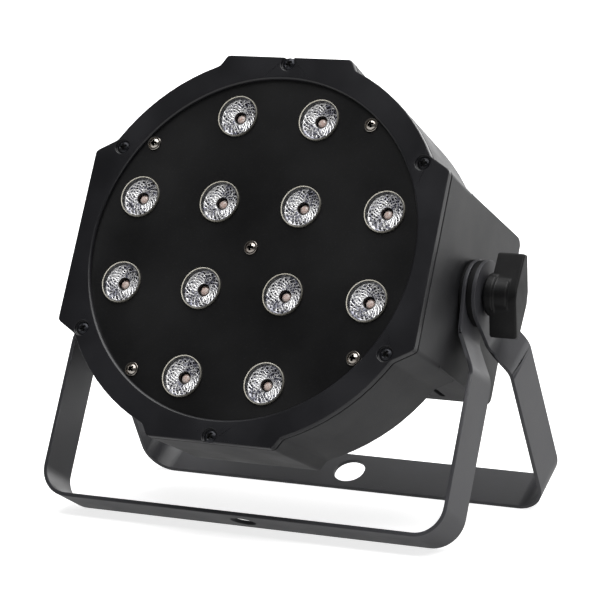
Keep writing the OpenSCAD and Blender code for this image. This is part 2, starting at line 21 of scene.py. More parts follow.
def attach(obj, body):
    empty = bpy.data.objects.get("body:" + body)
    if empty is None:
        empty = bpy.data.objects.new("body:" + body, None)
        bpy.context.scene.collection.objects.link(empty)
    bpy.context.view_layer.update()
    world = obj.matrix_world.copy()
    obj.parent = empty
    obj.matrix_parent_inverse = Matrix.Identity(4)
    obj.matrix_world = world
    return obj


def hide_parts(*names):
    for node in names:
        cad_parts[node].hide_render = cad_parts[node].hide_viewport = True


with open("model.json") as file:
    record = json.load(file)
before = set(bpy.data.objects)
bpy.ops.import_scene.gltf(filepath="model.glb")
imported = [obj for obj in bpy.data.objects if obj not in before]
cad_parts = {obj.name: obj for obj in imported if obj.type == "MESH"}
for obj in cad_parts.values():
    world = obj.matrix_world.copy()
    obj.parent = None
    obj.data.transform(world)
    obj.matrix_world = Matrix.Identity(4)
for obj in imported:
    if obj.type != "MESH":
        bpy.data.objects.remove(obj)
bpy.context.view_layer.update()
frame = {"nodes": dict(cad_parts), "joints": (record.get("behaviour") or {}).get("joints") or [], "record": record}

# %% [markdown]
# The head is tilted, so a piece on it is easier to make in the head's own
# directions: x to the right, y to the back, z up, with the pivot at the
# origin. The joints of the record give the pivot and the tilt, and one matrix
# carries finished pieces to their place.

# %% Measure the head
MM = 0.001
MERGE = 2e-6

joints = {joint["name"]: joint for joint in frame["joints"]}
body_of = {node: body
           for body, nodes in frame["record"]["behaviour"]["bodies"].items()
           for node in nodes}

pivot = Vector(joints["head_tilt"]["pos_m"])
right = Vector((1, 0, 0))
back = Vector(joints["fan_spin"]["axis"]).normalized()
up = right.cross(back)
head = Matrix.Translation(pivot) @ Matrix((right, back, up)).transposed().to_4x4()
print("tilt of the head, degrees:", round(math.degrees(math.asin(-back.z)), 2))


def merged(node):
    """A copy of a node's mesh whose triangles share their corners."""
    bm = bmesh.new()
    bm.from_mesh(frame["nodes"][node].data)
    bmesh.ops.remove_doubles(bm, verts=bm.verts, dist=MERGE)
    return bm


def head_box(node):
    """Lowest and highest corner of a node in the head's directions."""
    to_head = head.inverted()
    points = np.array([to_head @ v.co for v in frame["nodes"][node].data.vertices])
    return points.min(axis=0), points.max(axis=0)


def loose_boxes(node):
    """Boxes of the separate solids of a node, in the head's directions."""
    bm = merged(node)
    bm.transform(head.inverted())
    left = set(bm.verts)
    boxes = []
    while left:
        group = [left.pop()]
        for vert in group:
            for edge in vert.link_edges:
                other = edge.other_vert(vert)
                if other in left:
                    left.remove(other)
                    group.append(other)
        points = np.array([v.co for v in group])
        boxes.append((points.min(axis=0), points.max(axis=0)))
    bm.free()
    return sorted(boxes, key=lambda box: tuple(np.round(box[0], 4)))


panel_lowest, _ = head_box("front_panel")
panel_y = panel_lowest[1]
print("panel face, mm behind the pivot:", round(panel_y / MM, 2))

# %% [markdown]
# Finishes are node trees. One helper adds a node, sets its properties, then
# links or sets its inputs. Colours are written as the hex values that a
# painter's chart uses, and one function turns them to the linear values that
# the renderer adds and multiplies.

# %% Helpers for node trees
def add(tree, kind, inputs=None, **properties):
    """Adds a node. An input that is a socket is linked, any other is set."""
    node = tree.nodes.new(kind)
    for name, value in properties.items():
        setattr(node, name, value)
    for name, value in (inputs or {}).items():
        socket = node.inputs[name] if isinstance(name, int) else next(
            s for s in node.inputs if s.name == name and s.enabled)
        if isinstance(value, bpy.types.NodeSocket):
            tree.links.new(value, socket)
        else:
            socket.default_value = value
    return node


def result(node):
    """The output in use of a node that shows one at a time."""
    return next(s for s in node.outputs if s.enabled)


def linear(hex_value):
    """An sRGB hex value as linear red, green, blue and alpha."""
    channels = [int(hex_value[i:i + 2], 16) / 255 for i in (1, 3, 5)]
    return tuple(c / 12.92 if c <= 0.04045 else ((c + 0.055) / 1.055) ** 2.4
                 for c in channels) + (1.0,)


def per_mm(size_mm):
    """The scale of a texture whose features are this many millimetres wide."""
    return 1000 / size_mm


# %% [markdown]
# Most surfaces here are made the same way on the real light: a base colour
# that drifts a little over centimetres, a sheen that drifts with it, and a
# fine relief from the mould, the spray gun or the mill. The function below
# makes that from two noises, and each finish gives the real sizes.

# %% The shared finish
def finish(name, base, second, rough, patch_mm, grain_mm, relief_mm, swing=0.08,
           metallic=0.0, stretch=(1, 1, 1), coat=0.0, coat_rough=0.1, fleck=0.0,
           specular=0.5, tarnish=None):
    """A material of two drifting colours, with its own sheen and fine relief."""
    material = bpy.data.materials.new(name)
    material.use_nodes = True
    tree = material.node_tree
    tree.nodes.clear()
    place = add(tree, "ShaderNodeTexCoord").outputs["Object"]
    patches = add(tree, "ShaderNodeTexNoise",
                  {"Vector": place, "Scale": per_mm(patch_mm), "Detail": 5.0})
    drawn = add(tree, "ShaderNodeMapping", {"Vector": place, "Scale": stretch})
    grain = add(tree, "ShaderNodeTexNoise",
                {"Vector": drawn.outputs[0], "Scale": per_mm(grain_mm), "Detail": 3.0})
    share = add(tree, "ShaderNodeMapRange",
                {"Value": patches.outputs["Fac"], "From Min": 0.35, "From Max": 0.65})
    colour = result(add(tree, "ShaderNodeMix", {
        "Factor": result(share), "A": linear(base), "B": linear(second)},
        data_type="RGBA"))
    if fleck:
        spots = add(tree, "ShaderNodeMapRange", {
            "Value": grain.outputs["Fac"], "From Min": 0.58, "From Max": 0.72,
            "To Max": fleck})
        colour = result(add(tree, "ShaderNodeMix", {
            "Factor": result(spots), "A": colour, "B": linear("#8a8a8c")},
            data_type="RGBA"))
    if tarnish:
        batch = add(tree, "ShaderNodeAttribute", attribute_name="batch")
        aged = add(tree, "ShaderNodeMapRange", {
            "Value": batch.outputs["Fac"], "From Min": 0.5, "To Max": 0.7})
        colour = result(add(tree, "ShaderNodeMix", {
            "Factor": result(aged), "A": colour, "B": linear(tarnish)},
            data_type="RGBA"))
        # Painted shade: faces marked by the next number are darkened to near-black, in the cross of a screw head
        # and on the far side of a lens rim.
        painted_shade = add(tree, "ShaderNodeAttribute", attribute_name="painted_shade")
        colour = result(add(tree, "ShaderNodeMix", {
            "Factor": painted_shade.outputs["Fac"], "A": colour, "B": linear("#141414")},
            data_type="RGBA"))
    sheen = add(tree, "ShaderNodeMapRange", {
        "Value": patches.outputs["Fac"], "From Min": 0.3, "From Max": 0.7,
        "To Min": rough - swing, "To Max": rough + swing})
    relief = add(tree, "ShaderNodeBump", {
        "Height": grain.outputs["Fac"], "Strength": 1.0, "Distance": relief_mm * MM})
    shader = add(tree, "ShaderNodeBsdfPrincipled", {
        "Base Color": colour, "Roughness": result(sheen), "Metallic": metallic,
        "Specular IOR Level": specular, "Coat Weight": coat,
        "Coat Roughness": coat_rough, "Normal": relief.outputs[0]})
    add(tree, "ShaderNodeOutputMaterial", {"Surface": shader.outputs[0]})
    return material


# %% [markdown]
# The yokes are bent from steel strip and powder coated. The powder melts into
# a satin skin with fine orange peel, about a millimetre from crest to crest.
# The housing and bezel are moulded ABS from a spark-eroded mould, which leaves
# a matt, sandy grain. The panel is sheet metal with a smooth, deep black
# lacquer.

# %% Painted and moulded blacks
powder_coat = finish("powder_coated_steel_satin_black", "#363639", "#404044", 0.42,
                     patch_mm=35, grain_mm=0.9, relief_mm=0.035)
housing_abs = finish("abs_spark_eroded_black", "#1d1d1f", "#28282a", 0.46,
                     patch_mm=28, grain_mm=0.7, relief_mm=0.045, fleck=0.05)
bezel_abs = finish("abs_satin_black", "#131316", "#1a1a1e", 0.36,
                   patch_mm=40, grain_mm=0.8, relief_mm=0.02)
panel_lacquer = finish("lacquered_sheet_black", "#0a0a0b", "#111112", 0.34,
                       patch_mm=60, grain_mm=0.6, relief_mm=0.008, fleck=0.04)
knob_nylon = finish("glass_filled_nylon_black", "#070708", "#0c0c0d", 0.46,
                    patch_mm=9, grain_mm=0.5, relief_mm=0.05, fleck=0.03,
                    specular=0.3)
rubber = finish("moulded_rubber_black", "#070708", "#0d0d0e", 0.62,
                patch_mm=8, grain_mm=0.5, relief_mm=0.04, specular=0.2)
connector_nylon = finish("connector_nylon_black", "#131315", "#1b1b1d", 0.36,
                         patch_mm=12, grain_mm=0.45, relief_mm=0.02)
button_abs = finish("moulded_abs_pale_grey", "#b9b9b4", "#c6c6c1", 0.4,
                    patch_mm=5, grain_mm=0.4, relief_mm=0.02)

# %% [markdown]
# Metals keep their default index of refraction, because a metal's colour is
# its reflection. Some of the screws have tarnished a little, and each copy of a
# screw carries its own random number, named batch, to say how much. The cross
# in a screw's head is painted near-black as shade, marked by a number per point.

# %% Metals
nickel = finish("nickel_plated_steel", "#c2bdb6", "#9c948c", 0.24, patch_mm=2.5,
                grain_mm=0.35, relief_mm=0.01, metallic=1.0, tarnish="#a8a09a")
black_oxide = finish("black_oxide_steel", "#232428", "#161619", 0.34, patch_mm=2.5,
                     grain_mm=0.4, relief_mm=0.01, metallic=0.7, tarnish="#34353a")
zinc = finish("bright_zinc_plate", "#b9bcc0", "#9da0a2", 0.28, patch_mm=4,
              grain_mm=0.4, relief_mm=0.01, metallic=1.0)
brass = finish("turned_brass", "#b8985a", "#9c7c42", 0.3, patch_mm=5,
               grain_mm=0.3, relief_mm=0.01, metallic=1.0, stretch=(8, 1, 1))
aluminium = finish("extruded_aluminium", "#a6a8aa", "#8f9193", 0.36, patch_mm=18,
                   grain_mm=0.8, relief_mm=0.02, metallic=1.0, stretch=(1, 1, 0.06))
pin_metal = finish("tinned_brass_pin", "#c9c6bb", "#aaa79c", 0.26, patch_mm=3,
                   grain_mm=0.3, relief_mm=0.01, metallic=1.0)
eye_metal = finish("forged_steel_phosphated", "#4b4c4f", "#3a3a3d", 0.42, patch_mm=6,
                   grain_mm=0.6, relief_mm=0.05, metallic=0.8)

# %% [markdown]
# The rest are a few glassy, ceramic and printed surfaces. The lens rim is a
# milky acrylic lip, the lamp's phosphor is pinkish under its clear dome, and
# the display hides behind a smoked red window.

# %% Glassy, ceramic and printed surfaces
# Painted shade: the tarnish switch also darkens the far side of each lip, through a number that the rims set by
# angle.
rim_acrylic = finish("milky_acrylic_lip", "#dcd6c6", "#ece8db", 0.3, patch_mm=3,
                     grain_mm=0.6, relief_mm=0.01, tarnish="#c4beae")
phosphor = finish("phosphor_under_acrylic", "#d9b9ae", "#efe2da", 0.22, patch_mm=1.2,
                  grain_mm=0.4, relief_mm=0.02, coat=0.6)
# Painted shade: this near-black acrylic stands for the shade inside the lens throats and in the gap under each
# lip.
painted_shade_acrylic = finish("acrylic_painted_dark_as_shade", "#101012", "#2a2a2d", 0.2,
                        patch_mm=2, grain_mm=0.5, relief_mm=0.02, coat=0.5)
window_acrylic = finish("smoked_red_acrylic", "#2c0508", "#1d0305", 0.12, patch_mm=20,
                        grain_mm=3.0, relief_mm=0.004, swing=0.03, coat=0.4)
solder_green = finish("printed_board_green", "#1f5a33", "#2b7144", 0.36, patch_mm=6,
                      grain_mm=1.2, relief_mm=0.03, stretch=(1, 1, 4))
solder_white = finish("printed_board_white", "#e4e4de", "#d3d3cc", 0.4, patch_mm=9,
                      grain_mm=1.0, relief_mm=0.02)
component_case = finish("moulded_epoxy_case", "#26241f", "#37332c", 0.5, patch_mm=5,
                        grain_mm=0.5, relief_mm=0.03)
fuse_glass = finish("fuse_glass", "#b9c4c6", "#d6dddd", 0.08, patch_mm=6,
                    grain_mm=1.0, relief_mm=0.004, swing=0.03, coat=0.8)

# %% [markdown]
# A reflector lens is cut into small diamonds, and each one mirrors another
# part of the room; here that reflection is painted into the colour. Every face
# carries two numbers. One of them is a painted reflection: high on the side of
# the bowl that would mirror the bright room, and low in the dimple of a diamond
# as painted shade. The one named facet is random. A ramp turns their sum into
# a painted silver of the room or a painted dark of the housing.

# %% Diamond-cut lens
def diamond_acrylic():
    """Acrylic with painted reflections, whose tone follows the numbers on its faces."""
    material = bpy.data.materials.new("diamond_cut_acrylic_painted_reflection")
    material.use_nodes = True
    tree = material.node_tree
    tree.nodes.clear()
    facet = add(tree, "ShaderNodeAttribute", attribute_name="facet")
    painted_light = add(tree, "ShaderNodeAttribute", attribute_name="painted_light")
    place = add(tree, "ShaderNodeTexCoord").outputs["Object"]
    # Painted reflection: a blotchy noise darkens patches of the bowl, more than it lightens them.
    blotch = add(tree, "ShaderNodeTexNoise",
                 {"Vector": place, "Scale": per_mm(1.6), "Detail": 1.0})
    drift = add(tree, "ShaderNodeMapRange", {
        "Value": blotch.outputs["Fac"], "From Min": 0.3, "From Max": 0.7,
        "To Min": -0.4, "To Max": 0.12})
    chance = add(tree, "ShaderNodeMath", {
        0: facet.outputs["Fac"], 1: 0.55, 2: result(drift)}, operation="MULTIPLY_ADD")
    level = add(tree, "ShaderNodeMath", {0: painted_light.outputs["Fac"], 1: chance.outputs[0]},
                operation="ADD")
    # The ramp runs from a painted dark of the housing to a painted silver of the room.
    tone = add(tree, "ShaderNodeValToRGB", {"Fac": level.outputs[0]})
    ramp = tone.color_ramp
    ramp.elements[0].position, ramp.elements[0].color = 0.08, linear("#0f0f14")
    ramp.elements[1].position, ramp.elements[1].color = 1.0, linear("#ffffff")
    for position, colour in ((0.35, "#33343e"), (0.55, "#85869a"), (0.78, "#c9c8c8")):
        ramp.elements.new(position).color = linear(colour)
    haze = add(tree, "ShaderNodeTexNoise",
               {"Vector": place, "Scale": per_mm(1.5), "Detail": 3.0})
    sheen = add(tree, "ShaderNodeMapRange", {
        "Value": haze.outputs["Fac"], "To Min": 0.12, "To Max": 0.3})
    relief = add(tree, "ShaderNodeBump", {
        "Height": haze.outputs["Fac"], "Strength": 1.0, "Distance": 0.02 * MM})
    shader = add(tree, "ShaderNodeBsdfPrincipled", {
        "Base Color": tone.outputs["Color"], "Roughness": result(sheen),
        "Metallic": 0.35, "Coat Weight": 0.5, "Coat Roughness": 0.08,
        "Normal": relief.outputs[0]})
    add(tree, "ShaderNodeOutputMaterial", {"Surface": shader.outputs[0]})
    return material


diamond = diamond_acrylic()

finish_of = {
    "powder_coat_yoke": powder_coat, "black_rubber": rubber, "zinc_steel": zinc,
    "knob_plastic": knob_nylon, "brass": brass, "housing_black": housing_abs,
    "bezel_black": bezel_abs, "panel_black": panel_lacquer,
    "black_screw": black_oxide, "nickel_screw": nickel, "lens_acrylic": diamond,
    "holder_black": connector_nylon, "led_ceramic": phosphor,
    "board_white": solder_white, "sink_aluminium": aluminium,
    "board_green": solder_green, "power_parts": component_case,
    "window_red": window_acrylic, "button_grey": button_abs,
    "connector_black": connector_nylon, "pin_silver": pin_metal,
    "fuse_glass": fuse_glass, "eye_steel": eye_metal,
}
slot_of = {}
for name, node in frame["nodes"].items():
    slot_of[name] = node.data.materials[0].name.split(".")[0]
    for place in node.material_slots:
        place.material = finish_of[slot_of[name]]
print("finishes:", len(set(finish_of.values())), "for", len(slot_of), "nodes")

# %% [markdown]
# No real edge is perfectly sharp. Folded strip, moulded plastic and sheared
# sheet each have their own small round, and it catches the light as a thin
# bright line. A copy of the CAD mesh has its corners joined, then a Bevel
# modifier rounds the edges and a Weighted Normal modifier keeps the flats flat.

# %% Round the edges
# Edges that turn by more than this, in degrees, are rounded.
SHARP_ANGLE = 30
# How strongly large flat faces keep their own shading, out of 100.
FLAT_WEIGHT = 90


def softened(name, node, radius_mm, segments=2):
    """A copy of a CAD node with rounded edges, which takes the node's place."""
    bm = merged(node)
    for face in bm.faces:
        face.smooth = True
    mesh = bpy.data.meshes.new(name)
    bm.to_mesh(mesh)
    bm.free()
    mesh.materials.append(finish_of[slot_of[node]])
    piece = bpy.data.objects.new(name, mesh)
    bpy.context.scene.collection.objects.link(piece)
    edge = piece.modifiers.new("Edge", "BEVEL")
    edge.width = radius_mm * MM
    edge.segments = segments
    edge.limit_method = "ANGLE"
    edge.angle_limit = math.radians(SHARP_ANGLE)
    edge.use_clamp_overlap = False
    flats = piece.modifiers.new("Flats", "WEIGHTED_NORMAL")
    flats.mode = "FACE_AREA"
    flats.weight = FLAT_WEIGHT
    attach(piece, body_of[node])
    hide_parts(node)
    return piece


soft_edges = [
    ("front_yoke_strip", "front_yoke", 0.35, 2),
    ("rear_yoke_strip", "rear_yoke", 0.2, 2),
    ("rubber_washers_inner", "inner_washers", 0.3, 2),
    ("rubber_washers_outer", "outer_washers", 0.6, 3),
    ("clamp_disc_left", "clamp_washer_left", 0.2, 1),
    ("clamp_disc_right", "clamp_washer_right", 0.2, 1),
    ("wing_knob_left", "knob_left", 0.9, 3),
    ("wing_knob_right", "knob_right", 0.9, 3),
    ("housing_shell", "main_housing", 0.3, 2),
    ("bezel_ring", "front_bezel", 0.35, 2),
    ("rear_plate", "rear_panel", 0.2, 1),
    ("window_pane", "display_window", 0.25, 2),
    ("dmx_in_socket", "dmx_in_shell", 0.25, 1),
    ("dmx_out_socket", "dmx_out_shell", 0.25, 1),
    ("mains_in_socket", "mains_inlet", 0.3, 2),
    ("mains_out_socket", "mains_outlet", 0.3, 2),
    ("fuse_collar", "fuse_holder", 0.3, 2),
    ("fuse_plug", "fuse_cap", 0.3, 2),
    ("key_menu", "menu_button", 0.35, 2),
    ("key_down", "down_button", 0.35, 2),
    ("key_up", "up_button", 0.35, 2),
    ("key_enter", "enter_button", 0.35, 2),
]
for row in soft_edges:
    piece = softened(*row)
    print(row[0], len(piece.data.polygons), "faces before its bevel")

# %% [markdown]
# Screws and lamps repeat, so each is made once and copied by Geometry Nodes.
# The tree puts the master on every point, turns it by a random angle, gives
# each copy a random number for its finish and each facet one for the painted
# reflection of the lenses, makes the copies real, and sets their material. The
# result is stored as a plain mesh.

# %% The copying tree
def copying_tree():
    """The Geometry Nodes tree, and the identifiers of its inputs by name."""
    tree = bpy.data.node_groups.new("Copies", "GeometryNodeTree")
    shape = {"Points": "Geometry", "Master": "Object", "Spin": "Float",
             "Seed": "Int", "Finish": "Material"}
    keys = {name: tree.interface.new_socket(
        name, in_out="INPUT", socket_type="NodeSocket" + kind).identifier
        for name, kind in shape.items()}
    tree.interface.new_socket("Pieces", in_out="OUTPUT",
                              socket_type="NodeSocketGeometry")
    given = add(tree, "NodeGroupInput").outputs
    master = add(tree, "GeometryNodeObjectInfo", {"Object": given["Master"]})
    angle = add(tree, "FunctionNodeRandomValue",
                {"Min": 0.0, "Max": given["Spin"], "Seed": given["Seed"]},
                data_type="FLOAT")
    turn = add(tree, "ShaderNodeCombineXYZ", {"Y": result(angle)})
    spin = add(tree, "FunctionNodeEulerToRotation", {0: turn.outputs[0]})
    spread = add(tree, "GeometryNodeInstanceOnPoints", {
        "Points": given["Points"], "Instance": master.outputs["Geometry"],
        "Rotation": spin.outputs[0]})
    each = add(tree, "FunctionNodeRandomValue",
               {"Min": 0.0, "Max": 1.0, "Seed": given["Seed"]}, data_type="FLOAT")
    batch = add(tree, "GeometryNodeStoreNamedAttribute", {
        "Geometry": spread.outputs[0], "Name": "batch", "Value": result(each)},
        data_type="FLOAT", domain="INSTANCE")
    real = add(tree, "GeometryNodeRealizeInstances", {"Geometry": batch.outputs[0]})
    # Painted reflection: on the lenses this random number per face paints some diamonds as mirroring a brighter
    # part of the room, some a darker one.
    tone = add(tree, "FunctionNodeRandomValue",
               {"Min": 0.0, "Max": 1.0, "Seed": given["Seed"]}, data_type="FLOAT")
    facet = add(tree, "GeometryNodeStoreNamedAttribute", {
        "Geometry": real.outputs[0], "Name": "facet", "Value": result(tone)},
        data_type="FLOAT", domain="FACE")
    skin = add(tree, "GeometryNodeSetMaterial",
               {"Geometry": facet.outputs[0], "Material": given["Finish"]})
    add(tree, "NodeGroupOutput", {"Pieces": skin.outputs[0]})
    return tree, keys


copy_tree, copy_keys = copying_tree()


def copies(name, master, spots, material, spin=0.0, seed=1):
    """Copies of a master on points of the head, as one plain mesh."""
    points = bpy.data.meshes.new(name + "_points")
    points.from_pydata([tuple(spot) for spot in spots], [], [])
    carrier = bpy.data.objects.new(name + "_points", points)
    stamp = bpy.data.objects.new(name + "_master", master)
    for thing in (carrier, stamp):
        bpy.context.scene.collection.objects.link(thing)
    maker = carrier.modifiers.new("Copies", "NODES")
    maker.node_group = copy_tree
    for key, value in (("Master", stamp), ("Spin", math.radians(spin)),
                       ("Seed", seed), ("Finish", material)):
        maker[copy_keys[key]] = value
    graph = bpy.context.evaluated_depsgraph_get()
    mesh = bpy.data.meshes.new_from_object(carrier.evaluated_get(graph))
    for thing in (carrier, stamp):
        bpy.data.objects.remove(thing)
    mesh.transform(head)
    mesh.name = name
    piece = bpy.data.objects.new(name, mesh)
    bpy.context.scene.collection.objects.link(piece)
    print(name, len(spots), "copies,", len(mesh.polygons), "faces")
    return piece


# %% [markdown]
# Round masters are lathe work: a list of radius and depth pairs, turned
# about the depth axis. Lists run so that the faces point outwards, and the
# normals are recalculated once the ring is closed.

# %% A small lathe
# A radius below this, in millimetres, is a point on the axis.
AXIS = 1e-6


def lathe(profile, around, smooth=False, closed=True):
    """A closed solid turned from (radius, depth) pairs in millimetres."""
    bm = bmesh.new()
    angles = [2 * math.pi * i / around for i in range(around)]
    rings = []
    for radius, depth in profile:
        if radius < AXIS:
            rings.append([bm.verts.new((0, depth * MM, 0))])
            continue
        rings.append([bm.verts.new((radius * MM * math.cos(angle), depth * MM,
                                    radius * MM * math.sin(angle)))
                      for angle in angles])
    following = rings[1:] + rings[:1] if closed else rings[1:]
    for first, second in zip(rings, following):
        if len(first) == 1 and len(second) == 1:
            continue
        for i in range(around):
            beside = (i + 1) % around
            corners = [first[i % len(first)], first[beside % len(first)],
                       second[beside % len(second)], second[i % len(second)]]
            bm.faces.new(list(dict.fromkeys(corners)))
    bmesh.ops.recalc_face_normals(bm, faces=bm.faces)
    for face in bm.faces:
        face.smooth = smooth
    mesh = bpy.data.meshes.new("lathe")
    bm.to_mesh(mesh)
    bm.free()
    return mesh


# %% [markdown]
# Each screw has a domed head with a cross pressed into it. The head is a fine
# polar grid whose height follows the dome, less the depth of the cross, and a
# panel screw has a flange under its head like a captive washer.

# %% Screw heads
# Shares of the head's radius, height and cross that shape the recess.
ARM_HALF = 0.2
RECESS_DEPTH = 0.75
RECESS_SLOPE = 0.35
# Thickness of a flange and of its rounded corner, in millimetres.
FLANGE_TOP = 0.45
FLANGE_CORNER = 0.15


def screw_head(radius, height, cross, flange=0.0, rings=22, around=72):
    """A cross-recess head that faces towards -y, its back at y = 0."""
    arm = ARM_HALF * radius
    dome = (radius ** 2 + height ** 2) / (2 * height)
    angles = [2 * math.pi * i / around for i in range(around)]

    def crown(reach):
        """Height of the plain dome at a distance from the axis."""
        return height - dome + math.sqrt(dome ** 2 - reach * reach)

    def top(reach, angle):
        """The y of the head's face, with its recess cut in."""
        x, z = reach * math.cos(angle), reach * math.sin(angle)
        near, far = sorted((abs(x), abs(z)))
        slope = min(1.0, (cross - far) / (RECESS_SLOPE * cross)) if far < cross else 0.0
        inside = max(0.0, min(1.0, (arm - near) / (RECESS_SLOPE * arm) + 0.2))
        return -(crown(reach) - RECESS_DEPTH * height * max(0.0, slope) * inside)

    def ring(bm, reach, depths):
        """A loop of points round the axis."""
        return [bm.verts.new((reach * MM * math.cos(angle), y * MM,
                              reach * MM * math.sin(angle)))
                for angle, y in zip(angles, depths)]

    bm = bmesh.new()
    # Painted shade: points low in the cross are marked, and their finish paints them near-black.
    painted_shade = bm.verts.layers.float.new("painted_shade")
    centre = bm.verts.new((0, top(0, 0) * MM, 0))
    centre[painted_shade] = 1.0
    loops = []
    for k in range(1, rings + 1):
        reach = 0.999 * radius * k / rings
        loops.append(ring(bm, reach, [top(reach, angle) for angle in angles]))
    for loop in loops:
        for vert in loop:
            plain = -crown(math.hypot(vert.co.x, vert.co.z) / MM)
            vert[painted_shade] = 1.0 if vert.co.y / MM > plain + 0.2 * height else 0.0
    outline = [(radius, 0.0)]
    if flange:
        outline = [(radius, -FLANGE_TOP), (flange - FLANGE_CORNER, -FLANGE_TOP),
                   (flange, FLANGE_CORNER - FLANGE_TOP), (flange, 0.0)]
    for reach, y in outline:
        loops.append(ring(bm, reach, [y] * around))
    for i in range(around):
        beside = (i + 1) % around
        bm.faces.new((centre, loops[0][i], loops[0][beside]))
        for inner, outer in zip(loops, loops[1:]):
            bm.faces.new((inner[i], outer[i], outer[beside], inner[beside]))
    bm.faces.new(loops[-1])
    bmesh.ops.recalc_face_normals(bm, faces=bm.faces)
    for face in bm.faces:
        face.smooth = len(face.verts) < 5
    mesh = bpy.data.meshes.new("screw_head")
    bm.to_mesh(mesh)
    bm.free()
    mesh.set_sharp_from_angle(angle=math.radians(38))
    return mesh


def heads_of(node, offset_mm, side="front"):
    """Where the heads of a node's screws sit: under the head, on its axis."""
    spots = []
    for low, high in loose_boxes(node):
        y = low[1] + offset_mm * MM if side == "front" else high[1] - offset_mm * MM
        spots.append(((low[0] + high[0]) / 2, y, (low[2] + high[2]) / 2))
    return spots


# Heights of the heads above the seats that they bear on, in millimetres.
BEZEL_HEAD, PANEL_HEAD, REAR_HEAD = 1.1, 1.4, 1.3
bezel_heads = copies("screw_heads_bezel", screw_head(3.2, BEZEL_HEAD, 2.0),
                     heads_of("bezel_screws", BEZEL_HEAD), black_oxide,
                     spin=360, seed=3)
panel_heads = copies("screw_heads_panel",
                     screw_head(2.8, PANEL_HEAD, 1.75, flange=3.5),
                     heads_of("panel_screws", PANEL_HEAD), nickel, spin=360, seed=8)
turned_head = screw_head(2.6, REAR_HEAD, 1.6)
turned_head.transform(Matrix.Rotation(math.pi, 4, "X"))
plate_heads = copies("screw_heads_rear", turned_head,
                     heads_of("rear_panel_screws", REAR_HEAD, side="back"),
                     black_oxide, spin=360, seed=5)
for piece, node in ((bezel_heads, "bezel_screws"), (panel_heads, "panel_screws"),
                    (plate_heads, "rear_panel_screws")):
    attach(piece, "head")
    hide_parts(node)

# %% [markdown]
# Each lamp has a pressed acrylic lens: a bowl cut into rows of diamonds. The
# diamonds come from rings of points where every second ring is turned by half
# a step, so four neighbours make one diamond. The points are a little loose,
# as the cuts of a cheap mould are, and each diamond has a dimple.

# %% The diamond bowl
LAMP_AROUND = 22
LAMP_ROWS = 6
# Radius, and depth behind the panel's face, in millimetres.
BOWL_EDGE = (9.3, 0.9)
BOWL_FOOT = (3.3, 2.5)
LOOSE_STEP = 0.2
LOOSE_RADIUS = 0.2
DIMPLE_INSET = 0.4
DIMPLE_DEPTH = 0.15
# The side of each lamp that is painted brightest, as if it mirrored the bright room, from x towards z.
PAINTED_BRIGHT_SIDE = math.radians(150)
# Mean and swing of the painted reflection, for the dimples, painted dark as shade, and for the rest.
DIMPLE_PAINTED_LIGHT = (0.14, 0.3)
DIAMOND_PAINTED_LIGHT = (0.76, 0.24)


def diamond_bowl():
    """A shallow bowl of diamonds with a painted reflection, each with a small dimple painted dark as shade."""
    rng = random.Random(12)
    bm = bmesh.new()
    painted_light = bm.faces.layers.float.new("painted_light")
    rows = []
    for row in range(LAMP_ROWS + 1):
        share = row / LAMP_ROWS
        radius = BOWL_EDGE[0] + (BOWL_FOOT[0] - BOWL_EDGE[0]) * share
        depth = BOWL_EDGE[1] + (BOWL_FOOT[1] - BOWL_EDGE[1]) * share
        loose = 1.0 if 0 < row < LAMP_ROWS else 0.0
        ring = []
        for i in range(LAMP_AROUND):
            step = i + 0.5 * (row % 2) + loose * rng.uniform(-LOOSE_STEP, LOOSE_STEP)
            angle = 2 * math.pi * step / LAMP_AROUND
            reach = radius + loose * rng.uniform(-LOOSE_RADIUS, LOOSE_RADIUS)
            ring.append(bm.verts.new((reach * MM * math.cos(angle), depth * MM,
                                      reach * MM * math.sin(angle))))
        rows.append(ring)
    cells = []
    for row in range(1, LAMP_ROWS):
        for i in range(LAMP_AROUND):
            # The neighbours in the next rows sit half a step to either side.
            beside = (i + 1) % LAMP_AROUND
            between = beside if row % 2 else i
            cells.append(bm.faces.new((rows[row][i], rows[row - 1][between],
                                       rows[row][beside], rows[row + 1][between])))
    for row, next_row in ((0, 1), (LAMP_ROWS, LAMP_ROWS - 1)):
        for i in range(LAMP_AROUND):
            beside = (i + 1) % LAMP_AROUND
            between = beside if row % 2 else i
            bm.faces.new((rows[row][i], rows[row][beside], rows[next_row][between]))
    # The back of the lens: foot, cone, flange and back under the edge.
    loops = [rows[-1]]
    for radius, depth in ((3.3, 7.4), (4.6, 7.8), (8.6, 5.6), (9.9, 4.4),
                          (9.9, 1.6), (9.35, 1.1)):
        loops.append([bm.verts.new((
            radius * MM * math.cos(2 * math.pi * i / LAMP_AROUND), depth * MM,
            radius * MM * math.sin(2 * math.pi * i / LAMP_AROUND)))
            for i in range(LAMP_AROUND)])
    for inner, outer in zip(loops, loops[1:] + rows[:1]):
        for i in range(LAMP_AROUND):
            beside = (i + 1) % LAMP_AROUND
            bm.faces.new((inner[i], inner[beside], outer[beside], outer[i]))
    bmesh.ops.recalc_face_normals(bm, faces=bm.faces)
    bmesh.ops.inset_individual(bm, faces=cells, thickness=DIMPLE_INSET * MM,
                               depth=-DIMPLE_DEPTH * MM)
    dimples = set(cells)
    # Painted reflection: each face is painted brighter on the side of the bowl that faces the bright room, and the
    # dimples are painted dark as shade.
    for face in bm.faces:
        spot = face.calc_center_median()
        swing = math.cos(2 * (math.atan2(spot.z, spot.x) - PAINTED_BRIGHT_SIDE))
        mean, reach = DIMPLE_PAINTED_LIGHT if face in dimples else DIAMOND_PAINTED_LIGHT
        face[painted_light] = mean + reach * swing
    mesh = bpy.data.meshes.new("diamond_bowl")
    bm.to_mesh(mesh)
    bm.free()
    return mesh


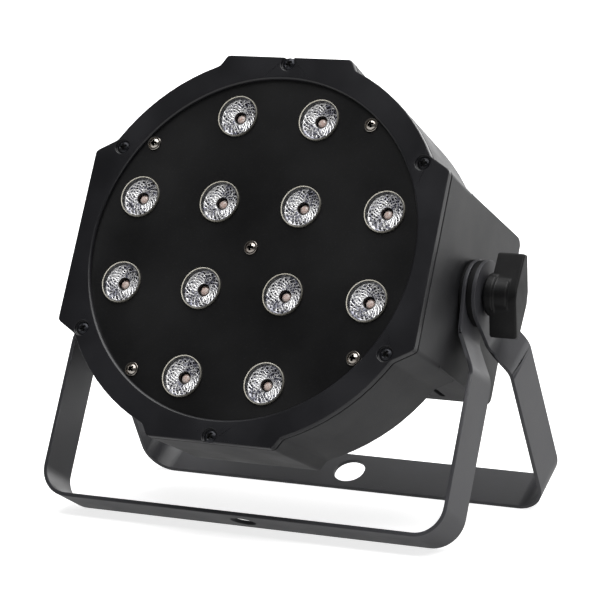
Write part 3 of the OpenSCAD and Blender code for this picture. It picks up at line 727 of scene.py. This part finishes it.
lamp_names = [f"lens_{number:02d}" for number in range(1, 13)]
lamp_spots = []
for name in lamp_names:
    low, high = head_box(name)
    lamp_spots.append(((low[0] + high[0]) / 2, panel_y, (low[2] + high[2]) / 2))

lenses = copies("lamp_lenses", diamond_bowl(), lamp_spots, diamond, seed=4)
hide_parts(*lamp_names)

# %% [markdown]
# Round each bowl stands a milky lip, painted dimmer on its far side as shade,
# with a collar inside it painted dark as shade. In the middle a throat painted
# dark as shade holds a small clear dome over the pinkish LED. Each is turned
# on the lathe from radius and depth in millimetres.

# %% Rims, throats and dies
rim = lathe([(9.93, 0.1), (9.93, -1.1), (10.05, -1.28), (10.25, -1.3), (10.42, -1.15),
             (10.45, 0.1)], 64, smooth=True)
# Painted shade: the far side of the milky lip is painted dimmer, as it has the dark panel behind it.
DIMMEST = 0.9
dimmer = rim.attributes.new("painted_shade", "FLOAT", "POINT")
for vertex, value in zip(rim.vertices, dimmer.data):
    away = math.atan2(vertex.co.z, vertex.co.x) - PAINTED_BRIGHT_SIDE
    value.value = DIMMEST * (0.5 - 0.5 * math.cos(away))
rims = copies("lamp_rims", rim, lamp_spots, rim_acrylic, seed=6)
# Painted shade: the throat is near-black for the shade in the hole round the LED.
throat = lathe([(3.28, 2.4), (3.28, 6.6), (0, 6.6), (0, 5.4), (2.85, 5.4),
                (3.0, 2.5)], 48)
throats = copies("lamp_throats", throat, lamp_spots, painted_shade_acrylic, seed=7)
# Painted shade: the collar is near-black for the shade in the gap under the lip.
collar = lathe([(9.7, -1.0), (9.92, -1.0), (9.92, 1.5), (9.3, 1.0), (9.3, 0.8)], 64)
collars = copies("lamp_collars", collar, lamp_spots, painted_shade_acrylic, seed=2)
dome = lathe([(0, 5.4), (2.6, 5.4), (2.6, 4.9), (2.45, 4.4), (2.0, 3.95),
              (1.4, 3.65), (0.7, 3.48), (0, 3.42)], 40, smooth=True, closed=False)
dies = copies("lamp_dies", dome, lamp_spots, phosphor, spin=360, seed=9)
for piece in (lenses, rims, throats, collars, dies):
    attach(piece, "head")

# %% [markdown]
# The safety eye is forged round bar, so it stays round: the CAD mesh is
# merged, shaded smooth, and only its collars keep their edges.

# %% Safety eye
softened("safety_eye_bar", "safety_eye", 0.15, 1)

# %% [markdown]
# The room is a plain white studio. Its pale floor runs to the horizon. What is
# seen of it is white paper, and what it throws back at the light is softer, as
# from a wide room: a ray from the camera meets the first, any other ray the
# second. Only the floor and the sky do this, no piece of the light does.

# %% Floor
FLOOR_HALF = 20.0
PAPER_GLOW = 0.78
FLOOR_SPILL = 0.34
floor_mesh = bpy.data.meshes.new("studio_floor")
floor_mesh.from_pydata([(-FLOOR_HALF, -FLOOR_HALF, 0), (FLOOR_HALF, -FLOOR_HALF, 0),
                        (FLOOR_HALF, FLOOR_HALF, 0), (-FLOOR_HALF, FLOOR_HALF, 0)],
                       [], [(0, 1, 2, 3)])
floor = bpy.data.objects.new("studio_floor", floor_mesh)
bpy.context.scene.collection.objects.link(floor)


def studio_paper():
    """White paper to look at, and the soft light that the floor throws back."""
    paper = finish("studio_paper_white", "#f4f4f4", "#f7f7f7", 0.8, patch_mm=300,
                   grain_mm=2.0, relief_mm=0.02, specular=0.2)
    tree = paper.node_tree
    output = next(n for n in tree.nodes if n.type == "OUTPUT_MATERIAL")
    white = output.inputs["Surface"].links[0].from_socket
    glow = add(tree, "ShaderNodeEmission",
               {"Color": linear("#ffffff"), "Strength": PAPER_GLOW})
    seen = add(tree, "ShaderNodeAddShader", {0: white, 1: glow.outputs[0]})
    dim = add(tree, "ShaderNodeBsdfDiffuse", {"Color": linear("#b0b0b0")})
    spill = add(tree, "ShaderNodeEmission",
                {"Color": linear("#ffffff"), "Strength": FLOOR_SPILL})
    felt = add(tree, "ShaderNodeAddShader", {0: dim.outputs[0], 1: spill.outputs[0]})
    ray = add(tree, "ShaderNodeLightPath")
    both = add(tree, "ShaderNodeMixShader", {
        0: ray.outputs["Is Camera Ray"], 1: felt.outputs[0], 2: seen.outputs[0]})
    tree.links.new(both.outputs[0], output.inputs["Surface"])
    return paper


floor_mesh.materials.append(studio_paper())

# %% [markdown]
# The sky is bright at the horizon behind the light and dim in front of it, so
# that the black faces stay black and their sides pick up a long soft
# reflection. Overhead is a soft ceiling. The camera sees it all as white.

# %% Sky
BACKDROP = 2.4
ABOVE_BACKDROP = 0.12
ROOM = 0.07
CEILING = 0.6

world = bpy.data.worlds.new("studio")
bpy.context.scene.world = world
world.use_nodes = True
sky = world.node_tree
sky.nodes.clear()
direction = add(sky, "ShaderNodeTexCoord").outputs["Generated"]
along = add(sky, "ShaderNodeSeparateXYZ", {0: direction})
behind = add(sky, "ShaderNodeMapRange", {
    "Value": along.outputs["Y"], "From Min": 0.1, "From Max": 0.75},
    interpolation_type="SMOOTHSTEP")
low = add(sky, "ShaderNodeMapRange", {
    "Value": along.outputs["Z"], "From Min": 0.1, "From Max": 0.42,
    "To Min": BACKDROP, "To Max": ABOVE_BACKDROP}, interpolation_type="SMOOTHSTEP")
ceiling = add(sky, "ShaderNodeMapRange", {
    "Value": along.outputs["Z"], "From Min": 0.7, "From Max": 1.0,
    "To Min": ROOM, "To Max": CEILING}, interpolation_type="SMOOTHSTEP")
wall = add(sky, "ShaderNodeMath", {0: result(behind), 1: result(low)},
           operation="MULTIPLY")
room = add(sky, "ShaderNodeMath", {0: wall.outputs[0], 1: result(ceiling)})
ray = add(sky, "ShaderNodeLightPath")
strength = add(sky, "ShaderNodeMath", {
    0: room.outputs[0], 1: ray.outputs["Is Camera Ray"]}, operation="MAXIMUM")
add(sky, "ShaderNodeOutputWorld", {
    "Surface": add(sky, "ShaderNodeBackground", {
        "Color": linear("#ffffff"), "Strength": result(strength)}).outputs[0]})


# %% [markdown]
# One broad light from above gives the shoulders of the knobs and screws their
# soft highlights, and a faint shadow under the yokes.

# %% Light
TOP_DIRECTION = (-0.15, 0.1, -1.0)
TOP_STRENGTH = 3.0
TOP_SPREAD = 60
top_data = bpy.data.lights.new("soft_top", "SUN")
top_data.energy = TOP_STRENGTH
top_data.angle = math.radians(TOP_SPREAD)
top_light = bpy.data.objects.new("soft_top", top_data)
top_light.rotation_euler = Vector(TOP_DIRECTION).to_track_quat("-Z", "Y").to_euler()
bpy.context.scene.collection.objects.link(top_light)

# %% [markdown]
# The camera stands a step to the right of the light and a little above it,
# with a long lens. Its place is worked out from two angles and the distance.

# %% Camera
AZIMUTH, ELEVATION = math.radians(26.9), math.radians(8.9)
DISTANCE = 1457.8 * MM
# The camera looks at a point this far right of the pivot and below it.
AIM_RIGHT, AIM_DOWN = 3.4 * MM, 10.1 * MM
LENS = 175.9
camera_right = Vector((math.cos(AZIMUTH), math.sin(AZIMUTH), 0))
towards_camera = Vector((math.sin(AZIMUTH) * math.cos(ELEVATION),
                         -math.cos(AZIMUTH) * math.cos(ELEVATION),
                         math.sin(ELEVATION)))
camera_up = towards_camera.cross(camera_right)
aim = pivot + camera_right * AIM_RIGHT - camera_up * AIM_DOWN
camera_data = bpy.data.cameras.new("camera")
camera_data.lens = LENS
camera_data.sensor_width = 36
camera_data.clip_start = 0.05
camera = bpy.data.objects.new("camera", camera_data)
camera.matrix_world = Matrix.Translation(aim + towards_camera * DISTANCE) @ Matrix(
    (camera_right, camera_up, towards_camera)).transposed().to_4x4()
bpy.context.scene.collection.objects.link(camera)
bpy.context.scene.camera = camera
bpy.context.scene.view_settings.view_transform = "Standard"
